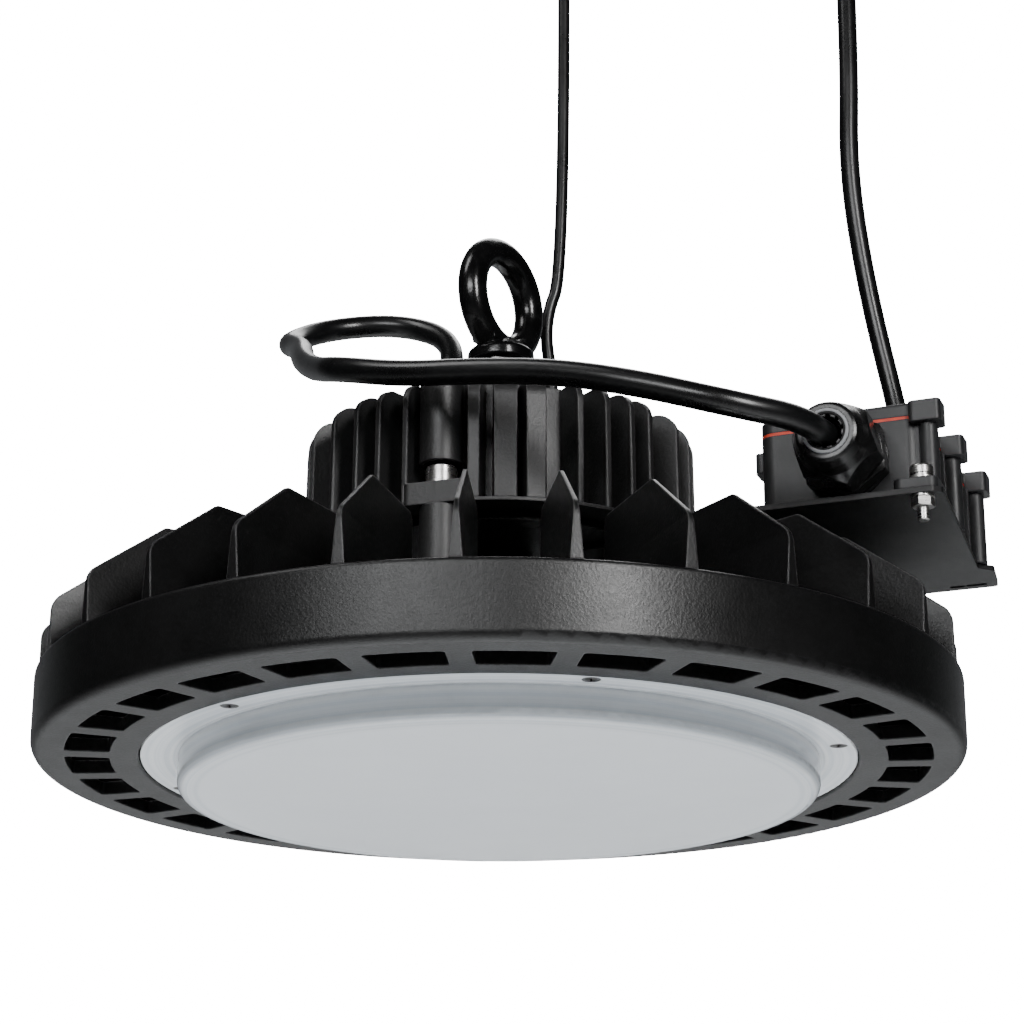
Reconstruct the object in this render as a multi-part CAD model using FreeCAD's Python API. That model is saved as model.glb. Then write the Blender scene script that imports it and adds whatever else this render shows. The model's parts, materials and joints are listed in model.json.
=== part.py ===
import FreeCAD, Part
import math
import os

V = FreeCAD.Vector
os.makedirs("parts", exist_ok=True)

# ---------------------------------------------------------------------------
# Suspended high bay light: round die-cast heat sink with a lens below, a finned
# driver housing on top, an eye bolt to hang it by, and a junction box on a
# bracket at one side. Lengths in mm.
#
# The model is laid out on the light's own axis with z = 0 at the lower face of
# the heat sink ring, then lowered so that the centre of the eye is the origin.
# ---------------------------------------------------------------------------

# --- heat sink casting
SINK_R = 165.0            # outside radius of the ring wall
SINK_WALL_TOP = 26.5      # height of the ring wall
SINK_WALL_T = 4.2         # thickness of the ring wall at its top
SINK_FACE_R_IN = 127.5    # inner radius of the lower ring face
SINK_FACE_T = 5.0         # thickness of the lower ring face
SLOT_R_IN = 137.5         # air slots through the ring face
SLOT_R_OUT = 153.3
SLOT_COUNT = 28
SLOT_BAR_W = 8.1          # width of the bars left between the slots
SLOT_CORNER_R = 1.5
SLOT_PHASE_DEG = 1.72     # the first slot's centre, from -Y towards +X
FIN_R_OUT = 163.6
FIN_SHOULDER_Z = 44.5     # where the upright outer edge turns into the slope
FIN_PEAK_R = 136.0
FIN_PEAK_Z = 64.8
FIN_TOP_Z = 64.5
FIN_R_IN = 98.0
FIN_T_ROOT = 4.3          # fin thickness at the top of the wall
FIN_T_SHOULDER = 1.5      # fin thickness at the shoulder
FIN_T_TIP = 1.2           # fin thickness at its peak
FLOOR_Z0 = 11.5           # floor that carries the light board
FLOOR_Z1 = 17.0
LENS_SEAT_Z = 4.2
LENS_SEAT_R = 112.0
CHIMNEY_R = 13.0          # tube that brings the wires up to the driver
CHIMNEY_BORE = 9.0
POST_TOP = 77.0
POST_R = 7.6
SUPPORT_R = 64.8          # pitch radius of posts, lugs and screw towers
SUPPORT_AZ = (-108.3, 11.7, 131.7)

# --- lens
LENS_FLANGE_R = 127.0
LENS_FLANGE_Z0 = 0.7
LENS_FLANGE_T = 2.5
LENS_DRUM_R = 113.8
LENS_BOTTOM_Z = -10.6
LENS_WALL = 2.4
LENS_EDGE_R = 3.4
LENS_SCREW_R = 121.8
LENS_SCREW_AZ0 = -76.3
LENS_SCREW_COUNT = 6

# --- light board
BOARD_R = 108.0
BOARD_T = 1.6
LED_SIZE = 3.0
LED_T = 0.7
LED_RINGS = ((22.0, 8), (38.0, 14), (54.0, 20), (70.0, 28), (86.0, 34), (100.0, 40))

# --- driver housing
HOUSE_Z0 = 77.0
HOUSE_RIM_T = 1.2
HOUSE_Z1 = 125.0
HOUSE_R_OUT = 71.8        # over the fins
HOUSE_R_BODY = 57.5
HOUSE_R_IN = 53.9
HOUSE_ROOF_T = 4.0
HOUSE_FIN_T_ROOT = 3.2    # thin fins where they leave the wall
HOUSE_FIN_T_TIP = 2.2     # and at their outer edge
# fins after each screw tower: degrees round from it, thickness (0 for a thin fin)
HOUSE_FINS = ((10.8, 4.6), (19.7, 8.5), (28.3, 7.4), (41.2, 0), (50.0, 0), (58.8, 0), (66.3, 0), (81.4, 0), (92.6, 0),
              (101.3, 0), (110.6, 0))
HOUSE_FIN_CORNER = 8.0
TOWER_R = 7.7
TOWER_BORE = 6.1
TOWER_Z0 = 92.8
LUG_T = 8.0
LUG_W = 24.0
HOUSE_SCREW_HEAD_R = 5.5
HOUSE_SCREW_HEAD_H = 5.6
BOSS_R = 17.0
BOSS_TOP = 142.0

# --- driver base plate and gasket
BASE_R = 58.6
BASE_Z0 = 74.5
BASE_Z1 = 76.5

# --- eye bolt, M12
EYE_Z = 181.7             # height of the eye's centre above the ring face
EYE_RING_R = 19.1
EYE_RING_r = 5.45
EYE_TURN_DEG = 56.0       # the eye's plane, turned about Z from facing -Y
EYE_COLLAR_R = 12.5
EYE_COLLAR_Z0 = 155.7
EYE_COLLAR_T = 7.5
EYE_SHANK_R = 6.0
EYE_WASHER_T = 2.5
EYE_WASHER_R = 15.0
EYE_NUT_AF = 19.0

# --- junction box: u points outwards from the light's axis, v runs along the box
BOX_AZ = -21.3
BOX_U0, BOX_U1 = 106.4, 162.5
BOX_V0, BOX_V1 = -26.5, 58.0
BOX_Z0 = 74.5
BOX_BASE_Z1 = 103.0
BOX_GASKET_T = 1.1
BOX_LID_Z1 = 109.0
BOX_WALL = 2.6
BOX_CORNER = 5.0
PLATE_T = 2.0
GLAND_U = 137.5
GLAND_Z = 90.5

# --- cords
LEAD_D = 9.0
CONTROL_D = 4.8
SUPPLY_D = 8.0
LEAD_TOP = (-20.3, 36.0)      # gland of the driver lead on the housing roof
CONTROL_TOP = (20.1, 25.0)    # gland of the control cable on the housing roof
CEILING_Z = 380.0             # ceiling plane, where the two risers are held

NODES = {}


def add(name, shape):
    if name in NODES:
        raise ValueError("node %s made twice" % name)
    NODES[name] = shape


def pol(r, az, z=0.0):
    a = math.radians(az)
    return V(r * math.cos(a), r * math.sin(a), z)


def uv(u, v, z=0.0):
    a = math.radians(BOX_AZ)
    return V(u * math.cos(a) - v * math.sin(a), u * math.sin(a) + v * math.cos(a), z)


def rot_z(shape, az, centre=V(0, 0, 0)):
    s = shape.copy()
    s.rotate(centre, V(0, 0, 1), az)
    return s


def to_box(shape):
    """Turn a shape drawn in (u, v, z) into the light's own axes."""
    return rot_z(shape, BOX_AZ)


def revolve(points, fillets=None):
    """Full turn about Z of a closed outline of (r, z) points."""
    pts = [V(r, 0, z) for r, z in points]
    face = Part.Face(Part.makePolygon(pts + [pts[0]]))
    solid = face.revolve(V(0, 0, 0), V(0, 0, 1), 360)
    if fillets:
        for (r, z), rad in fillets:
            edges = []
            for e in solid.Edges:
                if not isinstance(e.Curve, Part.Circle):
                    continue
                if abs(e.Curve.Radius - r) < 1e-3 and abs(e.Curve.Center.z - z) < 1e-3:
                    edges.append(e)
            if edges:
                solid = solid.makeFillet(rad, edges)
    return solid


def cyl(r, h, at=V(0, 0, 0), axis=V(0, 0, 1)):
    return Part.makeCylinder(r, h, at, axis)


def tube(r, bore, h, at=V(0, 0, 0), axis=V(0, 0, 1)):
    return cyl(r, h, at, axis).cut(cyl(bore, h, at, axis))


def hexagon(af, h, z0=0.0, turn=0.0):
    r = af / math.sqrt(3.0)
    pts = [V(r * math.cos(math.radians(60 * i + turn)), r * math.sin(math.radians(60 * i + turn)), z0)
           for i in range(6)]
    return Part.Face(Part.makePolygon(pts + [pts[0]])).extrude(V(0, 0, h))


def hex_chamfered(af, h, z0=0.0, turn=0.0, top=True, bottom=True, angle_drop=0.13):
    """Hexagon with its corners turned down, as on a nut."""
    s = hexagon(af, h, z0, turn)
    rc = af / math.sqrt(3.0)
    d = (rc - af / 2.0) * 0.58
    ri = af / 2.0 * 0.985
    pts = [(0, z0)]
    if bottom:
        pts += [(ri, z0), (rc + 0.01, z0 + d)]
    else:
        pts += [(rc + 0.01, z0)]
    if top:
        pts += [(rc + 0.01, z0 + h - d), (ri, z0 + h)]
    else:
        pts += [(rc + 0.01, z0 + h)]
    pts += [(0, z0 + h)]
    return s.common(revolve(pts))


def place(shape, at, axis):
    """Move a shape drawn along +Z so that its Z runs along axis from at."""
    s = shape.copy()
    s.Placement = FreeCAD.Placement(at, FreeCAD.Rotation(V(0, 0, 1), axis))
    return s


def block(x0, x1, y0, y1, z0, z1):
    return Part.makeBox(x1 - x0, y1 - y0, z1 - z0, V(x0, y0, z0))


def round_block(x0, x1, y0, y1, z0, z1, rad):
    """Box with its upright edges rounded."""
    b = block(x0, x1, y0, y1, z0, z1)
    edges = [e for e in b.Edges if abs(e.Vertexes[0].Z - e.Vertexes[1].Z) > (z1 - z0) * 0.9]
    return b.makeFillet(rad, edges)


def fuse(shapes):
    out = shapes[0].multiFuse(list(shapes[1:])) if len(shapes) > 1 else shapes[0]
    return out.removeSplitter()


def single(shape):
    """The one solid of a boolean result, without its compound."""
    if len(shape.Solids) != 1:
        raise ValueError("expected one solid, got %d" % len(shape.Solids))
    return shape.Solids[0]


def group(shapes):
    solids = []
    for s in shapes:
        solids += s.Solids
    return Part.makeCompound(solids)


# ---------------------------------------------------------------------------
# Heat sink: ring wall, slotted lower face, floor, fins, posts: one casting
# ---------------------------------------------------------------------------
def make_sink_ring():
    """Ring wall, slotted lower face and the seat of the lens."""
    body = revolve(
        [(LENS_SEAT_R, LENS_SEAT_Z), (SINK_FACE_R_IN, LENS_SEAT_Z), (SINK_FACE_R_IN, 0.0), (SINK_R, 0.0),
         (SINK_R, SINK_WALL_TOP), (SINK_R - SINK_WALL_T, SINK_WALL_TOP),
         (SINK_R - SINK_WALL_T - 0.8, SINK_FACE_T), (134.0, SINK_FACE_T),
         (133.0, FLOOR_Z1), (LENS_SEAT_R, FLOOR_Z1)],
        [((SINK_R, 0.0), 3.4), ((SINK_R, SINK_WALL_TOP), 1.6),
         ((SINK_R - SINK_WALL_T, SINK_WALL_TOP), 0.8), ((SINK_FACE_R_IN, 0.0), 0.8)])
    pitch = 360.0 / SLOT_COUNT
    slot_az0 = -90.0 + SLOT_PHASE_DEG
    # one slot: a piece of annulus with sides parallel to the bars beside it
    ann = tube(SLOT_R_OUT, SLOT_R_IN, SINK_FACE_T + 4.0, V(0, 0, -2.0))
    half = pitch / 2.0
    wedge = []
    for sgn in (-1, 1):
        a = math.radians(sgn * half)
        d = V(math.cos(a), math.sin(a), 0)
        n = V(-math.sin(a), math.cos(a), 0) * (-sgn) * (SLOT_BAR_W / 2.0)
        wedge.append((d, n))
    p0 = wedge[0][0] * 100.0 + wedge[0][1]
    p1 = wedge[0][0] * 200.0 + wedge[0][1]
    p2 = wedge[1][0] * 200.0 + wedge[1][1]
    p3 = wedge[1][0] * 100.0 + wedge[1][1]
    for p in (p0, p1, p2, p3):
        p.z = -2.0
    pr = Part.Face(Part.makePolygon([p0, p1, p2, p3, p0])).extrude(V(0, 0, SINK_FACE_T + 4.0))
    slot = single(ann.common(pr))
    edges = [e for e in slot.Edges if abs(e.Vertexes[0].Z - e.Vertexes[-1].Z) > 5.0]
    slot = slot.makeFillet(SLOT_CORNER_R, edges)
    slots = Part.makeCompound([rot_z(slot, slot_az0 + i * pitch) for i in range(SLOT_COUNT)])
    body = body.cut(slots)
    # tapped holes for the lens screws
    bores = []
    for i in range(LENS_SCREW_COUNT):
        c = pol(LENS_SCREW_R, LENS_SCREW_AZ0 + i * 360.0 / LENS_SCREW_COUNT)
        bores.append(cyl(1.5, 8.0, V(c.x, c.y, LENS_SEAT_Z - 0.5)))
    return single(body.cut(Part.makeCompound(bores)))


def make_sink_floor():
    """Floor that the light board is screwed to, inside the ring."""
    floor = tube(LENS_SEAT_R, CHIMNEY_BORE, FLOOR_Z1 - FLOOR_Z0, V(0, 0, FLOOR_Z0))
    bores = []
    for i in range(6):
        c = pol(93.0, 5.0 + 60.0 * i)
        bores.append(cyl(1.5, 4.5, V(c.x, c.y, FLOOR_Z0 - 0.5)))
    return single(floor.cut(Part.makeCompound(bores)))


def make_sink_fin():
    """One upright fin, drawn in the XZ plane and drafted in thickness with height."""
    outline = [(FIN_R_OUT, 3.0), (FIN_R_OUT, FIN_SHOULDER_Z), (FIN_PEAK_R, FIN_PEAK_Z),
               (FIN_R_IN, FIN_TOP_Z - 0.4), (FIN_R_IN, FLOOR_Z1), (130.0, FLOOR_Z1), (131.0, 3.0)]
    pts = [V(r, -5.0, z) for r, z in outline]
    flat = Part.Face(Part.makePolygon(pts + [pts[0]])).extrude(V(0, 10.0, 0))

    def upright(r, z):
        return [e for e in flat.Edges if abs(e.Vertexes[0].X - r) < 1e-3 and abs(e.Vertexes[0].Z - z) < 1e-3
                and abs(e.Vertexes[1].X - r) < 1e-3 and abs(e.Vertexes[1].Z - z) < 1e-3]
    flat = flat.makeFillet(7.0, upright(FIN_R_OUT, FIN_SHOULDER_Z))
    flat = flat.makeFillet(3.0, upright(FIN_PEAK_R, FIN_PEAK_Z))
    flat = flat.makeFillet(3.0, upright(FIN_R_IN, FIN_TOP_Z - 0.4))
    half = [(FIN_T_ROOT / 2.0, 0.0), (FIN_T_ROOT / 2.0, SINK_WALL_TOP), (FIN_T_SHOULDER / 2.0, FIN_SHOULDER_Z),
            (FIN_T_TIP / 2.0, FIN_PEAK_Z + 1.0)]
    prof = [V(70.0, y, z) for y, z in half] + [V(70.0, -y, z) for y, z in reversed(half)]
    draft = Part.Face(Part.makePolygon(prof + [prof[0]])).extrude(V(100.0, 0, 0))
    return single(flat.common(draft))


def make_sink_posts():
    posts, bores = [], []
    for az in SUPPORT_AZ:
        c = pol(SUPPORT_R, az)
        post = Part.makeCone(POST_R + 0.4, POST_R, POST_TOP - FLOOR_Z1, V(c.x, c.y, FLOOR_Z1))
        posts.append(single(post.cut(cyl(3.0, 16.0, V(c.x, c.y, POST_TOP - 16.0)))))
    return posts


sink_ring = make_sink_ring()
sink_floor = make_sink_floor()
sink_fin = make_sink_fin()
fin_az0 = -90.0 + SLOT_PHASE_DEG
sink_fins = [rot_z(sink_fin, fin_az0 + (i + 0.5) * 360.0 / SLOT_COUNT) for i in range(SLOT_COUNT)]
sink_fins = [single(f.cut(sink_ring)) for f in sink_fins]
# the ring, the floor, the fins, the posts and the wire tube are regions of one die casting
add("heat_sink", sink_ring)
add("heat_sink_floor", sink_floor)
add("heat_sink_fins", group(sink_fins))
add("heat_sink_posts", group(make_sink_posts()))
add("heat_sink_tube", single(revolve([(CHIMNEY_BORE, FLOOR_Z1), (CHIMNEY_R, FLOOR_Z1), (CHIMNEY_R - 0.6, BASE_Z0),
                                      (CHIMNEY_BORE, BASE_Z0)])))


# ---------------------------------------------------------------------------
# Lens, its gasket and screws
# ---------------------------------------------------------------------------
def make_lens():
    fz0, fz1 = LENS_FLANGE_Z0, LENS_FLANGE_Z0 + LENS_FLANGE_T
    zi = LENS_BOTTOM_Z + LENS_WALL
    out = revolve(
        [(0, LENS_BOTTOM_Z), (LENS_DRUM_R, LENS_BOTTOM_Z), (LENS_DRUM_R, fz0), (LENS_FLANGE_R, fz0),
         (LENS_FLANGE_R, fz1), (LENS_DRUM_R - LENS_WALL, fz1), (LENS_DRUM_R - LENS_WALL, zi), (0, zi)],
        [((LENS_DRUM_R, LENS_BOTTOM_Z), LENS_EDGE_R), ((LENS_DRUM_R - LENS_WALL, zi), LENS_EDGE_R - LENS_WALL),
         ((LENS_FLANGE_R, fz0), 0.6)])
    holes = []
    for i in range(LENS_SCREW_COUNT):
        c = pol(LENS_SCREW_R, LENS_SCREW_AZ0 + i * 360.0 / LENS_SCREW_COUNT)
        holes.append(cyl(1.7, 6.0, V(c.x, c.y, -1.0)))
        holes.append(Part.makeCone(3.2, 1.7, 1.5, V(c.x, c.y, fz0 - 0.001)))
    return single(out.cut(Part.makeCompound(holes)))


add("lens", make_lens())

lg = tube(126.5, 114.0, LENS_SEAT_Z - (LENS_FLANGE_Z0 + LENS_FLANGE_T), V(0, 0, LENS_FLANGE_Z0 + LENS_FLANGE_T))
lens_screws, gasket_holes = [], []
for i in range(LENS_SCREW_COUNT):
    c = pol(LENS_SCREW_R, LENS_SCREW_AZ0 + i * 360.0 / LENS_SCREW_COUNT)
    gasket_holes.append(cyl(1.7, 6.0, V(c.x, c.y, 0.0)))
    head = Part.makeCone(3.1, 1.5, 1.5, V(c.x, c.y, LENS_FLANGE_Z0 + 0.05))
    shank = cyl(1.5, 9.4, V(c.x, c.y, LENS_FLANGE_Z0 + 0.05))
    recess = block(-1.9, 1.9, -0.35, 0.35, -1, 0.85).fuse(block(-0.35, 0.35, -1.9, 1.9, -1, 0.85))
    recess.translate(V(c.x, c.y, LENS_FLANGE_Z0))
    lens_screws.append(single(head.fuse(shank).cut(recess)))
add("lens_gasket", single(lg.cut(Part.makeCompound(gasket_holes))))
add("lens_screws", group(lens_screws))


# ---------------------------------------------------------------------------
# Light board, its emitters, screws and leads
# ---------------------------------------------------------------------------
board_z0 = FLOOR_Z0 - BOARD_T
board = tube(BOARD_R, 5.0, BOARD_T, V(0, 0, board_z0))
bs, bh = [], []
for i in range(6):
    c = pol(93.0, 5.0 + 60.0 * i)
    bh.append(cyl(1.7, 4.0, V(c.x, c.y, board_z0 - 1.0)))
    head = Part.makeSphere(3.6, V(0, 0, 2.0), V(0, 0, 1), -90, 90, 360)
    pan = cyl(2.8, 1.9, V(0, 0, -1.9)).fuse(cyl(1.5, 5.0, V(0, 0, 0)))
    pan = pan.cut(block(-1.6, 1.6, -0.3, 0.3, -2.5, -1.0)).cut(block(-0.3, 0.3, -1.6, 1.6, -2.5, -1.0))
    pan.translate(V(c.x, c.y, board_z0))
    bs.append(single(pan))
add("led_board", single(board.cut(Part.makeCompound(bh))))
add("led_board_screws", group(bs))

leds = []
for ring_i, (r, n) in enumerate(LED_RINGS):
    for k in range(n):
        az = 360.0 * k / n + 4.0 * ring_i
        near_screw = any(abs((az - (5.0 + 60.0 * j) + 180) % 360 - 180) * math.pi / 180 * r < 6.0 and abs(r - 93.0) < 8.5
                         for j in range(6))
        if near_screw:
            continue
        b = block(-LED_SIZE / 2, LED_SIZE / 2, -LED_SIZE / 2, LED_SIZE / 2, -LED_T, 0.0)
        b.rotate(V(0, 0, 0), V(0, 0, 1), az)
        c = pol(r, az)
        b.translate(V(c.x, c.y, board_z0))
        leds.append(b)
add("leds", group(leds))

wires = []
for x in (-2.6, 2.6):
    wires.append(cyl(1.2, 70.5, V(x, 0, FLOOR_Z0 + 0.0)))
add("led_leads", group(wires))
grommet = cyl(CHIMNEY_BORE, 8.0, V(0, 0, 64.0))
for x in (-2.6, 2.6):
    grommet = grommet.cut(cyl(1.2, 10.0, V(x, 0, 63.0)))
add("wire_grommet", single(grommet))


# ---------------------------------------------------------------------------
# Driver housing: finned cup with its roof, boss, screw towers and lugs
# ---------------------------------------------------------------------------
def make_housing():
    roof0 = HOUSE_Z1 - HOUSE_ROOF_T
    cup = revolve(
        [(HOUSE_R_IN, HOUSE_Z0), (HOUSE_R_OUT, HOUSE_Z0), (HOUSE_R_OUT, HOUSE_Z0 + HOUSE_RIM_T),
         (HOUSE_R_BODY, HOUSE_Z0 + HOUSE_RIM_T + 0.6), (HOUSE_R_BODY - 0.8, HOUSE_Z1),
         (BOSS_R + 3.0, HOUSE_Z1), (BOSS_R, HOUSE_Z1 + 4.0), (BOSS_R - 0.6, BOSS_TOP),
         (EYE_SHANK_R, BOSS_TOP), (EYE_SHANK_R, roof0 - 4.0), (12.0, roof0 - 4.0), (12.0, roof0),
         (HOUSE_R_IN - 0.6, roof0)],
        [((BOSS_R - 0.6, BOSS_TOP), 1.0)])
    towers, bores, lugs = [], [], []
    for az in SUPPORT_AZ:
        c = pol(SUPPORT_R, az)
        t = cyl(TOWER_R, HOUSE_Z1 - 0.5 - TOWER_Z0, V(c.x, c.y, TOWER_Z0))
        # web that joins the tower to the wall
        w = block(HOUSE_R_BODY - 2.5, SUPPORT_R, -TOWER_R + 0.6, TOWER_R - 0.6, TOWER_Z0, HOUSE_Z1 - 0.5)
        towers += [t, rot_z(w, az)]
        lug = block(HOUSE_R_BODY - 2.5, SUPPORT_R + 7.0, -LUG_W / 2, LUG_W / 2, HOUSE_Z0, HOUSE_Z0 + LUG_T)
        lug = lug.makeFillet(2.5, [e for e in lug.Edges if abs(e.Vertexes[0].Z - e.Vertexes[1].Z) > LUG_T * 0.9 and
                                   e.Vertexes[0].X > SUPPORT_R])
        lugs.append(rot_z(lug, az))
        bores.append(cyl(TOWER_BORE, HOUSE_Z1 - TOWER_Z0 + 2.0, V(c.x, c.y, HOUSE_Z0 + LUG_T)))
        bores.append(cyl(3.2, LUG_T + 2.0, V(c.x, c.y, HOUSE_Z0 - 1.0)))
    out = cup.multiFuse(towers + lugs)
    # gland holes through the roof
    bores.append(cyl(7.5, 12.0, V(LEAD_TOP[0], LEAD_TOP[1], roof0 - 2.0)))
    bores.append(cyl(5.5, 12.0, V(CONTROL_TOP[0], CONTROL_TOP[1], roof0 - 2.0)))
    out = out.cut(Part.makeCompound(bores))
    # bosses inside for the base plate's screws
    bosses, holes = [], []
    for i in range(6):
        c = pol(53.0, -78.3 + 60.0 * i)
        bosses.append(cyl(4.4, roof0 - HOUSE_Z0 + 0.5, V(c.x, c.y, HOUSE_Z0)))
        holes.append(cyl(1.5, 14.0, V(c.x, c.y, HOUSE_Z0 - 1.0)))
    out = out.multiFuse(bosses).cut(Part.makeCompound(holes))
    return single(out)


def make_housing_fin(t_root, t_tip):
    """One upright fin of the housing, drawn in the XZ plane."""
    z0, z1 = HOUSE_Z0 + HOUSE_RIM_T, HOUSE_Z1 - 0.9
    flat = Part.Face(Part.makePolygon([V(r, -9.0, z) for r, z in (
        (HOUSE_R_BODY - 1.8, z0), (HOUSE_R_OUT, z0), (HOUSE_R_OUT - 0.5, z1), (HOUSE_R_BODY - 1.8, z1),
        (HOUSE_R_BODY - 1.8, z0))])).extrude(V(0, 18.0, 0))
    e = [q for q in flat.Edges if abs(q.Vertexes[0].X - (HOUSE_R_OUT - 0.5)) < 1e-3 and
         abs(q.Vertexes[1].X - (HOUSE_R_OUT - 0.5)) < 1e-3]
    flat = flat.makeFillet(HOUSE_FIN_CORNER, e)
    c = min(0.7, t_tip * 0.28)
    plan = [(HOUSE_R_BODY - 2.0, t_root / 2), (HOUSE_R_OUT - c, t_tip / 2), (HOUSE_R_OUT - c * 0.25, t_tip / 2 - c * 0.4),
            (HOUSE_R_OUT + 0.01, t_tip / 2 - c)]
    pts = [V(x, y, HOUSE_Z0) for x, y in plan] + [V(x, -y, HOUSE_Z0) for x, y in reversed(plan)]
    return single(flat.common(Part.Face(Part.makePolygon(pts + [pts[0]])).extrude(V(0, 0, 60.0))))


housing = make_housing()
add("driver_housing", housing)
housing_fins = []
for az in SUPPORT_AZ:
    for rel, t in HOUSE_FINS:
        fin = make_housing_fin(t, t - 0.3) if t else make_housing_fin(HOUSE_FIN_T_ROOT, HOUSE_FIN_T_TIP)
        housing_fins.append(single(rot_z(fin, az + rel).cut(housing)))
# the fins are cast in one with the housing
add("driver_housing_fins", group(housing_fins))

base_holes, gasket_cut, base_screws = [], [], []
for i in range(6):
    c = pol(53.0, -78.3 + 60.0 * i)
    base_holes.append(cyl(1.7, 4.0, V(c.x, c.y, BASE_Z0 - 1.0)))
    base_holes.append(Part.makeCone(3.2, 1.7, 1.5, V(c.x, c.y, BASE_Z0 - 0.001)))
    gasket_cut.append(cyl(1.7, 4.0, V(c.x, c.y, BASE_Z0)))
    s = Part.makeCone(3.1, 1.5, 1.5, V(c.x, c.y, BASE_Z0 + 0.05)).fuse(cyl(1.5, 11.0, V(c.x, c.y, BASE_Z0 + 0.05)))
    base_screws.append(single(s))
base_plate = tube(BASE_R, CHIMNEY_BORE, BASE_Z1 - BASE_Z0, V(0, 0, BASE_Z0))
arm_screw_uv = ((42.0, -2.0), (42.0, 20.0))
for u_, v_ in arm_screw_uv:
    p = uv(u_, v_)
    base_holes.append(cyl(2.0, 4.0, V(p.x, p.y, BASE_Z0 - 1.0)))
# the plate is notched around the three posts
post_notches = [cyl(POST_R + 0.6, 10.0, V(pol(SUPPORT_R, az).x, pol(SUPPORT_R, az).y, BASE_Z0 - 2.0)) for az in SUPPORT_AZ]
base_plate = base_plate.cut(Part.makeCompound(base_holes + post_notches))
add("driver_base_plate", single(base_plate))
gasket = tube(BASE_R, 49.0, HOUSE_Z0 - BASE_Z1, V(0, 0, BASE_Z1)).cut(Part.makeCompound(gasket_cut + post_notches))
add("driver_base_gasket", single(gasket))
add("base_plate_screws", group(base_screws))

hs, hw = [], []
for az in SUPPORT_AZ:
    c = pol(SUPPORT_R, az)
    zl = HOUSE_Z0 + LUG_T
    # spring washer with its split
    w = tube(HOUSE_SCREW_HEAD_R + 0.3, 3.1, 1.3, V(c.x, c.y, zl))
    gap = block(0.0, 8.0, -0.35, 0.35, zl - 1.0, zl + 3.0)
    gap = rot_z(gap, az + 90.0)
    gap.translate(V(c.x, c.y, 0))
    hw.append(single(w.cut(gap)))
    head = cyl(HOUSE_SCREW_HEAD_R, HOUSE_SCREW_HEAD_H, V(c.x, c.y, zl + 1.3))
    head = head.makeChamfer(0.5, [e for e in head.Edges if isinstance(e.Curve, Part.Circle) and e.CenterOfMass.z > zl + 5])
    sock = hexagon(5.0, 4.0)
    sock.translate(V(c.x, c.y, zl + 1.3 + HOUSE_SCREW_HEAD_H - 3.5))
    shank = cyl(3.0, LUG_T + 1.3 + 14.0, V(c.x, c.y, POST_TOP - 14.0))
    hs.append(single(head.fuse(shank).cut(sock)))
add("housing_screws", group(hs))
add("housing_spring_washers", group(hw))


# ---------------------------------------------------------------------------
# Driver electronics inside the housing
# ---------------------------------------------------------------------------
pcb = round_block(-38, 38, -30, 30, 84.5, 86.1, 3.0)
sp, ph = [], []
for x in (-33, 33):
    for y in (-25, 25):
        sp.append(single(hexagon(5.5, 8.0, BASE_Z1).cut(cyl(1.3, 9.0, V(0, 0, BASE_Z1 - 0.5)))))
        sp[-1].translate(V(x, y, 0))
        ph.append(cyl(1.6, 4.0, V(x, y, 83.5)))
for x in (-2.6, 2.6):
    ph.append(cyl(1.3, 4.0, V(x, 0, 83.5)))
add("board_spacers", group(sp))
add("driver_board", single(pcb.cut(Part.makeCompound(ph))))
core = block(-16, 16, -27, -5, 86.1, 108.0).cut(block(-10, -5.5, -28, -4, 91.0, 103.0)).cut(block(5.5, 10, -28, -4, 91.0, 103.0))
add("driver_transformer", single(core))
caps = [cyl(8.0, 26.0, V(-27, -11, 86.1)), cyl(6.3, 20.0, V(27, -15, 86.1)), cyl(5.0, 16.0, V(27, 0, 86.1))]
caps = [c.makeFillet(0.9, [e for e in c.Edges if isinstance(e.Curve, Part.Circle)]) for c in caps]
add("driver_capacitors", group(caps))
tor = Part.makeTorus(8.0, 3.6, V(-26, 12, 86.1 + 3.6), V(0, 0, 1))
add("driver_choke", tor)
term = block(12, 32, 14, 24, 86.1, 96.0)
for k in range(3):
    term = term.cut(cyl(1.9, 6.0, V(15.5 + 6.5 * k, 19, 91.0)))
add("driver_terminals", single(term))


# ---------------------------------------------------------------------------
# Eye bolt, lock nut and washer
# ---------------------------------------------------------------------------
ring = Part.makeTorus(EYE_RING_R, EYE_RING_r, V(0, 0, EYE_Z), V(math.sin(math.radians(EYE_TURN_DEG)), -math.cos(math.radians(EYE_TURN_DEG)), 0))
collar_top = EYE_COLLAR_Z0 + EYE_COLLAR_T
collar = revolve([(0, EYE_COLLAR_Z0), (EYE_COLLAR_R, EYE_COLLAR_Z0), (EYE_COLLAR_R, collar_top - 3.2), (8.6, collar_top),
                  (0, collar_top)],
                 [((EYE_COLLAR_R, EYE_COLLAR_Z0), 1.0), ((EYE_COLLAR_R, collar_top - 3.2), 2.2)])
# forged neck that flares from the collar into both limbs of the ring
a = math.radians(EYE_TURN_DEG)
neck_w, neck_t = 14.0, 5.0
npts = [(-neck_w, 0.0), (neck_w, 0.0), (neck_w + 0.8, 8.0), (-neck_w - 0.8, 8.0)]
neck = Part.Face(Part.makePolygon([V(x, -neck_t, collar_top - 1.0 + z) for x, z in npts + [npts[0]]])).extrude(V(0, 2 * neck_t, 0))
neck = neck.cut(Part.makeCylinder(EYE_RING_R - 1.0, 30.0, V(0, -15, EYE_Z), V(0, 1, 0)))
neck = neck.common(revolve([(0, 150), (12.2, 150), (12.2, 161.5), (15.2, 172), (0, 172)]))
neck.rotate(V(0, 0, 0), V(0, 0, 1), EYE_TURN_DEG)
shank = cyl(EYE_SHANK_R, EYE_COLLAR_Z0 - 117.0 + 0.5, V(0, 0, 117.0))
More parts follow.
